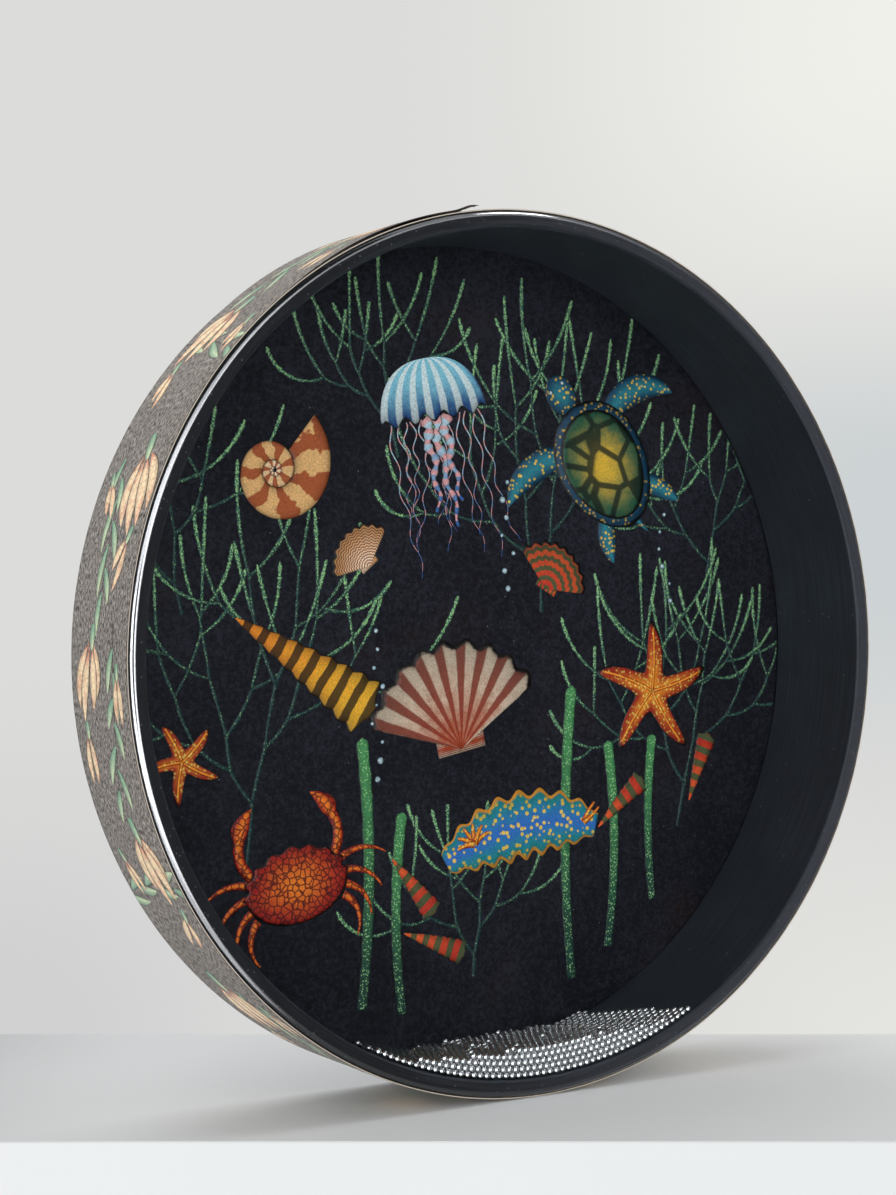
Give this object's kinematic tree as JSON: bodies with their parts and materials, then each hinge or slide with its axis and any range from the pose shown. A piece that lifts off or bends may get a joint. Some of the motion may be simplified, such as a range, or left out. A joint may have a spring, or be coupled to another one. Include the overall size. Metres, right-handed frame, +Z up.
{
  "type": "ocean drum",
  "caption": "Shallow round two-headed drum: clear front head, printed back head, and loose steel beads sealed between them that roll round the hoop.",
  "frame": {"origin": "on the floor under the middle of the drum, which stands on its rim", "axes": "+Z up; +Y along the drum's axis, from the clear front head to the printed back head; +X to the right as seen from the front"},
  "size_m": [0.4064, 0.0636, 0.4064],
  "materials": {
    "black_fibre": "matte charcoal-black sealed fibre",
    "clear_film": "clear polyester film, glossy",
    "printed_film": null,
    "bond": "cured clear adhesive",
    "printed_wrap": "printed paper-faced cloth, pencil-hatched grey-brown with pale blossoms, satin",
    "steel": "polished steel ball"
  },
  "bodies": {
    "drum": {"shell_hoop": "black_fibre", "front_head": "clear_film", "back_head": "printed_film", "front_bond_line": "bond", "back_bond_line": "bond", "outer_wrap": "printed_wrap"},
    "beads_01": {"bead_lane_01": "steel"},
    "beads_02": {"bead_lane_02": "steel"},
    "beads_03": {"bead_lane_03": "steel"},
    "beads_04": {"bead_lane_04": "steel"},
    "beads_05": {"bead_lane_05": "steel"},
    "beads_06": {"bead_lane_06": "steel"},
    "beads_07": {"bead_lane_07": "steel"},
    "beads_08": {"bead_lane_08": "steel"},
    "beads_09": {"bead_lane_09": "steel"},
    "beads_10": {"bead_lane_10": "steel"},
    "beads_11": {"bead_lane_11": "steel"},
    "beads_12": {"bead_lane_12": "steel"},
    "beads_13": {"bead_lane_13": "steel"},
    "beads_14": {"bead_lane_14": "steel"},
    "beads_15": {"bead_lane_15": "steel"},
    "beads_16": {"bead_lane_16": "steel"},
    "beads_17": {"bead_lane_17": "steel"},
    "beads_18": {"bead_lane_18": "steel"},
    "beads_19": {"bead_lane_19": "steel"}
  },
  "joints": [
    {"name": "bead_lane_01_roll", "type": "hinge", "parent": "drum", "child": "beads_01", "pos_m": [0, 0, 0.2032], "axis": [0, 1, 0], "continuous": true},
    {"name": "bead_lane_02_roll", "type": "hinge", "parent": "drum", "child": "beads_02", "pos_m": [0, 0, 0.2032], "axis": [0, 1, 0], "continuous": true},
    {"name": "bead_lane_03_roll", "type": "hinge", "parent": "drum", "child": "beads_03", "pos_m": [0, 0, 0.2032], "axis": [0, 1, 0], "continuous": true},
    {"name": "bead_lane_04_roll", "type": "hinge", "parent": "drum", "child": "beads_04", "pos_m": [0, 0, 0.2032], "axis": [0, 1, 0], "continuous": true},
    {"name": "bead_lane_05_roll", "type": "hinge", "parent": "drum", "child": "beads_05", "pos_m": [0, 0, 0.2032], "axis": [0, 1, 0], "continuous": true},
    {"name": "bead_lane_06_roll", "type": "hinge", "parent": "drum", "child": "beads_06", "pos_m": [0, 0, 0.2032], "axis": [0, 1, 0], "continuous": true},
    {"name": "bead_lane_07_roll", "type": "hinge", "parent": "drum", "child": "beads_07", "pos_m": [0, 0, 0.2032], "axis": [0, 1, 0], "continuous": true},
    {"name": "bead_lane_08_roll", "type": "hinge", "parent": "drum", "child": "beads_08", "pos_m": [0, 0, 0.2032], "axis": [0, 1, 0], "continuous": true},
    {"name": "bead_lane_09_roll", "type": "hinge", "parent": "drum", "child": "beads_09", "pos_m": [0, 0, 0.2032], "axis": [0, 1, 0], "continuous": true},
    {"name": "bead_lane_10_roll", "type": "hinge", "parent": "drum", "child": "beads_10", "pos_m": [0, 0, 0.2032], "axis": [0, 1, 0], "continuous": true},
    {"name": "bead_lane_11_roll", "type": "hinge", "parent": "drum", "child": "beads_11", "pos_m": [0, 0, 0.2032], "axis": [0, 1, 0], "continuous": true},
    {"name": "bead_lane_12_roll", "type": "hinge", "parent": "drum", "child": "beads_12", "pos_m": [0, 0, 0.2032], "axis": [0, 1, 0], "continuous": true},
    {"name": "bead_lane_13_roll", "type": "hinge", "parent": "drum", "child": "beads_13", "pos_m": [0, 0, 0.2032], "axis": [0, 1, 0], "continuous": true},
    {"name": "bead_lane_14_roll", "type": "hinge", "parent": "drum", "child": "beads_14", "pos_m": [0, 0, 0.2032], "axis": [0, 1, 0], "continuous": true},
    {"name": "bead_lane_15_roll", "type": "hinge", "parent": "drum", "child": "beads_15", "pos_m": [0, 0, 0.2032], "axis": [0, 1, 0], "continuous": true},
    {"name": "bead_lane_16_roll", "type": "hinge", "parent": "drum", "child": "beads_16", "pos_m": [0, 0, 0.2032], "axis": [0, 1, 0], "continuous": true},
    {"name": "bead_lane_17_roll", "type": "hinge", "parent": "drum", "child": "beads_17", "pos_m": [0, 0, 0.2032], "axis": [0, 1, 0], "continuous": true},
    {"name": "bead_lane_18_roll", "type": "hinge", "parent": "drum", "child": "beads_18", "pos_m": [0, 0, 0.2032], "axis": [0, 1, 0], "continuous": true},
    {"name": "bead_lane_19_roll", "type": "hinge", "parent": "drum", "child": "beads_19", "pos_m": [0, 0, 0.2032], "axis": [0, 1, 0], "continuous": true}
  ]
}
